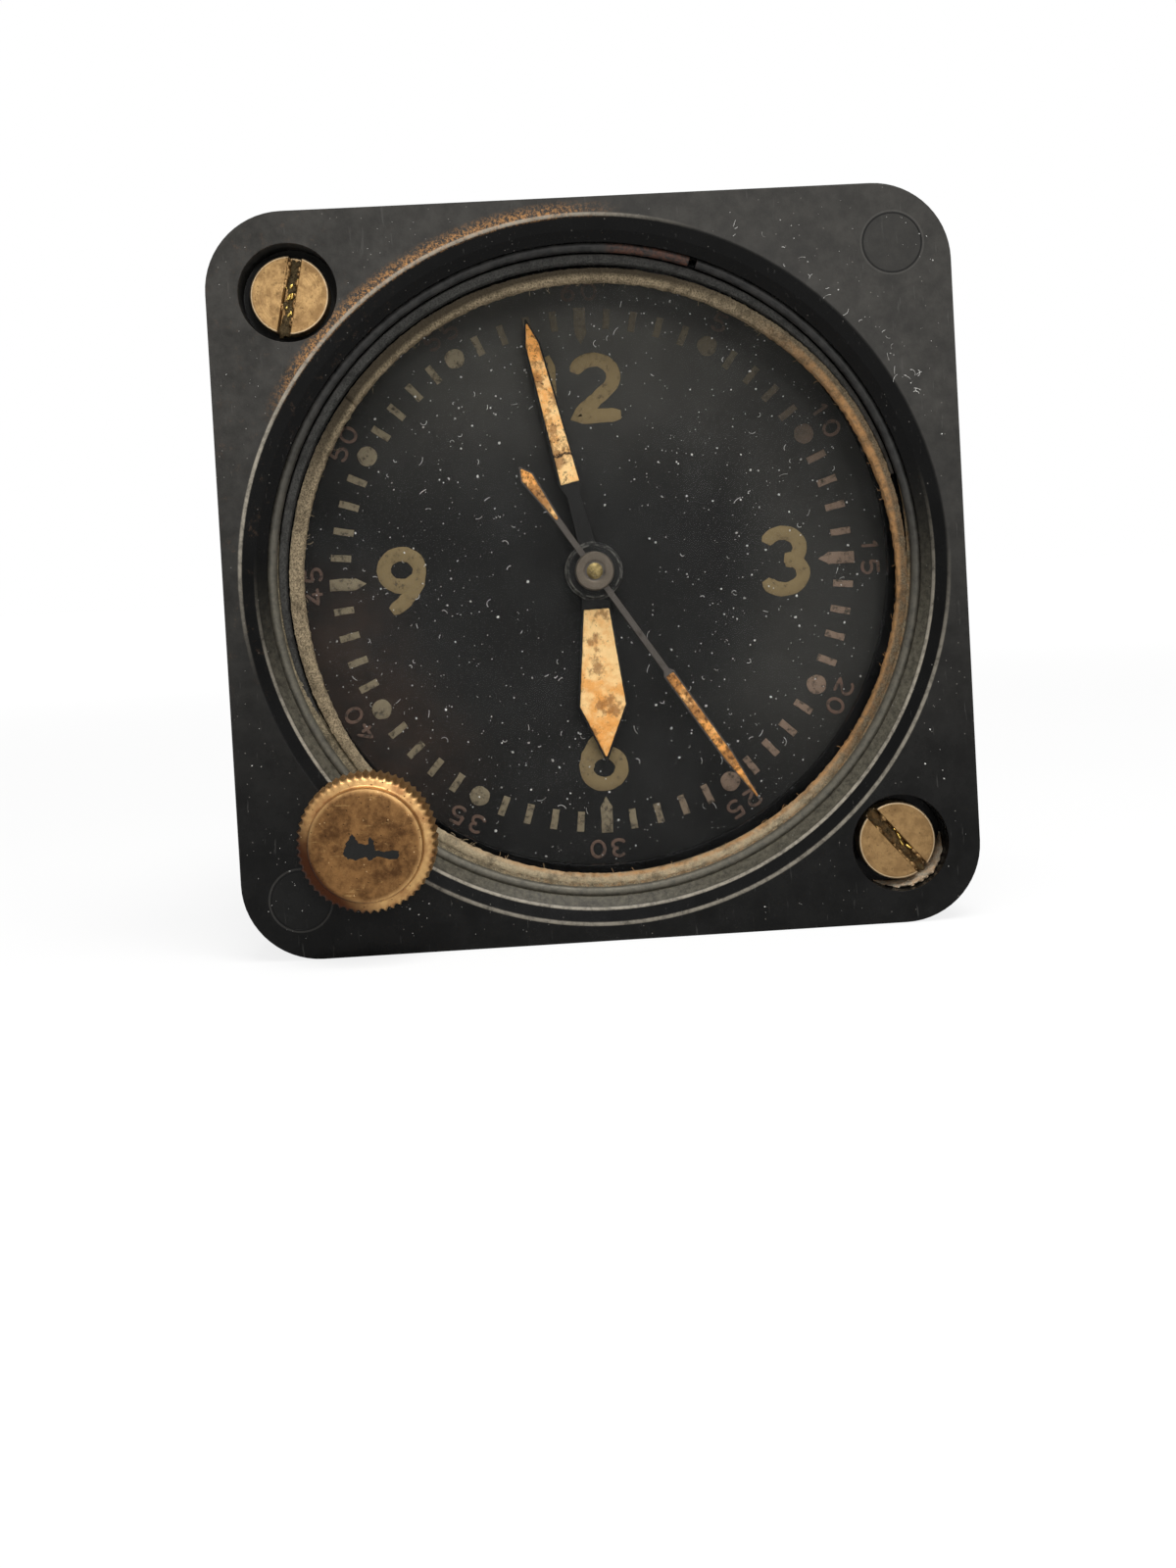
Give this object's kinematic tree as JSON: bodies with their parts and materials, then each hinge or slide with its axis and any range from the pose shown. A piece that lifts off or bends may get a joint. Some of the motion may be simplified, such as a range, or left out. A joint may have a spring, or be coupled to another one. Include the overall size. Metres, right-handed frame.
{
  "type": "aircraft clock",
  "caption": "Panel-mounted aircraft clock with a square flange, glazed black dial, luminous hands, winding knob and a complete spring-driven lever movement in a round case",
  "frame": {"origin": "on the clock's axis, in the plane where the rear of the flange meets the panel", "axes": "dial faces -Y, twelve o'clock is +Z, +X is to the right of the dial as it is read"},
  "size_m": [0.0604, 0.0384, 0.0604],
  "materials": {
    "black_phenolic": "worn black moulding, dusty and slightly greyed on the front",
    "screw_brass": "dull tarnished brass with bright scratches in the slot",
    "dark_screw": "blackened steel",
    "rear_fibre": "dark fibre sheet",
    "gasket_fibre": "tan fibre, frayed and dirty",
    "clear_glass": "clear flat glass with fine dust",
    "dark_wire": "dark plated wire, worn to copper near the split",
    "dial_black": "matt black paint with aged printing",
    "copper": "drawn copper",
    "plate_brass": "grained brass plate",
    "pillar_brass": "turned brass",
    "bright_steel": "polished steel",
    "spring_steel": "blued spring steel",
    "knob_brass": "worn brass with brown patina and black paint left in the middle",
    "wheel_brass": "cut brass",
    "hand_black": "black paint",
    "hand_lume": "cracked cream filling with brown stains"
  },
  "bodies": {
    "case": {"case_body": "black_phenolic", "rear_cover": "black_phenolic", "rear_cover_screws": "dark_screw", "rear_gasket": "rear_fibre", "mounting_screws": "screw_brass", "glass": "clear_glass", "glass_gasket": "gasket_fibre", "snap_ring": "dark_wire", "dial_plate": "dial_black", "dial_feet": "copper", "front_plate": "plate_brass", "rear_plate": "plate_brass", "plate_pillars": "pillar_brass", "pillar_screws": "bright_steel", "movement_posts": "pillar_brass", "movement_screws": "dark_screw", "shoulder_screws": "bright_steel", "click_spring": "spring_steel", "balance_cock": "plate_brass", "cock_screws": "bright_steel", "regulator": "bright_steel"},
    "winding_gear": {"winding_pinion": "bright_steel"},
    "knob": {"winding_stem": "bright_steel", "stem_clip": "bright_steel", "winding_knob": "knob_brass"},
    "idler": {"winding_idler": "wheel_brass"},
    "ratchet": {"ratchet_wheel": "bright_steel", "barrel_arbor": "bright_steel"},
    "click": {"click": "bright_steel"},
    "barrel": {"barrel_drum": "wheel_brass", "barrel_cover": "wheel_brass", "mainspring": "spring_steel"},
    "intermediate": {"intermediate_wheel": "wheel_brass", "intermediate_arbor": "bright_steel"},
    "minute": {"centre_wheel": "wheel_brass", "centre_arbor": "bright_steel", "cannon_pinion": "bright_steel", "minute_hand": "hand_black", "minute_lume": "hand_lume"},
    "minute_gear": {"minute_wheel": "wheel_brass"},
    "hour": {"hour_wheel": "wheel_brass", "hour_hand": "hand_black", "hour_lume": "hand_lume"},
    "third": {"third_wheel": "wheel_brass", "third_arbor": "bright_steel"},
    "seconds": {"fourth_wheel": "wheel_brass", "seconds_arbor": "bright_steel", "seconds_hand": "hand_black", "seconds_lume": "hand_lume"},
    "escape": {"escape_wheel": "bright_steel", "escape_arbor": "bright_steel"},
    "pallet": {"pallet_lever": "bright_steel", "pallet_arbor": "bright_steel"},
    "balance": {"balance_wheel": "wheel_brass", "balance_staff": "bright_steel", "hairspring": "spring_steel"}
  },
  "joints": [
    {"name": "knob_turn", "type": "hinge", "parent": "case", "child": "winding_gear", "pos_m": [-0.01948, -0.0025, -0.02039], "axis": [0, 1, 0], "continuous": true},
    {"name": "knob_pull", "type": "slide", "parent": "winding_gear", "child": "knob", "axis": [0, -1, 0], "range_m": [0, 0.0012]},
    {"name": "idler_turn", "type": "hinge", "parent": "case", "child": "idler", "pos_m": [-0.01451, -0.0025, -0.01518], "axis": [0, 1, 0], "continuous": true},
    {"name": "ratchet_turn", "type": "hinge", "parent": "case", "child": "ratchet", "pos_m": [-0.01324, -0.0025, -0.00265], "axis": [0, 1, 0], "continuous": true},
    {"name": "click_lift", "type": "hinge", "parent": "case", "child": "click", "pos_m": [-0.01154, -0.0025, 0.00696], "axis": [0, 1, 0], "range_deg": [0, 8], "stiffness_Nm_per_rad": 0.0002, "springref_deg": -2.86},
    {"name": "seconds_turn", "type": "hinge", "parent": "case", "child": "seconds", "pos_m": [0, 0.006, 0], "axis": [0, 1, 0], "continuous": true},
    {"name": "minute_turn", "type": "hinge", "parent": "case", "child": "minute", "pos_m": [0, 0, 0], "axis": [0, 1, 0], "continuous": true},
    {"name": "hour_turn", "type": "hinge", "parent": "case", "child": "hour", "pos_m": [0, -0.003, 0], "axis": [0, 1, 0], "continuous": true},
    {"name": "minute_gear_turn", "type": "hinge", "parent": "case", "child": "minute_gear", "pos_m": [0.003, -0.002, 0.0052], "axis": [0, 1, 0], "continuous": true},
    {"name": "third_turn", "type": "hinge", "parent": "case", "child": "third", "pos_m": [0.00419, 0.005, 0.0115], "axis": [0, 1, 0], "continuous": true},
    {"name": "intermediate_turn", "type": "hinge", "parent": "case", "child": "intermediate", "pos_m": [-0.00834, 0.005, 0.00918], "axis": [0, 1, 0], "continuous": true},
    {"name": "barrel_turn", "type": "hinge", "parent": "case", "child": "barrel", "pos_m": [-0.01324, 0.009, -0.00265], "axis": [0, 1, 0], "continuous": true},
    {"name": "escape_turn", "type": "hinge", "parent": "case", "child": "escape", "pos_m": [0.01213, 0.008, 0.00214], "axis": [0, 1, 0], "continuous": true},
    {"name": "pallet_rock", "type": "hinge", "parent": "case", "child": "pallet", "pos_m": [0.01318, 0.009, -0.00265], "axis": [0, 1, 0], "range_deg": [-5, 5]},
    {"name": "balance_swing", "type": "hinge", "parent": "case", "child": "balance", "pos_m": [0.01468, 0.008, -0.00953], "axis": [0, 1, 0], "range_deg": [-120, 120], "stiffness_Nm_per_rad": 0.0000014}
  ],
  "couplings": [
    {"joint": "idler_turn", "follows": "knob_turn", "ratio": -0.33333},
    {"joint": "ratchet_turn", "follows": "knob_turn", "ratio": 0.25},
    {"joint": "third_turn", "follows": "seconds_turn", "ratio": -0.13333},
    {"joint": "minute_turn", "follows": "seconds_turn", "ratio": 0.016667},
    {"joint": "minute_gear_turn", "follows": "seconds_turn", "ratio": -0.0055556},
    {"joint": "hour_turn", "follows": "seconds_turn", "ratio": 0.0013889},
    {"joint": "intermediate_turn", "follows": "seconds_turn", "ratio": -0.002381},
    {"joint": "barrel_turn", "follows": "seconds_turn", "ratio": 0.00034014},
    {"joint": "escape_turn", "follows": "seconds_turn", "ratio": -10}
  ]
}
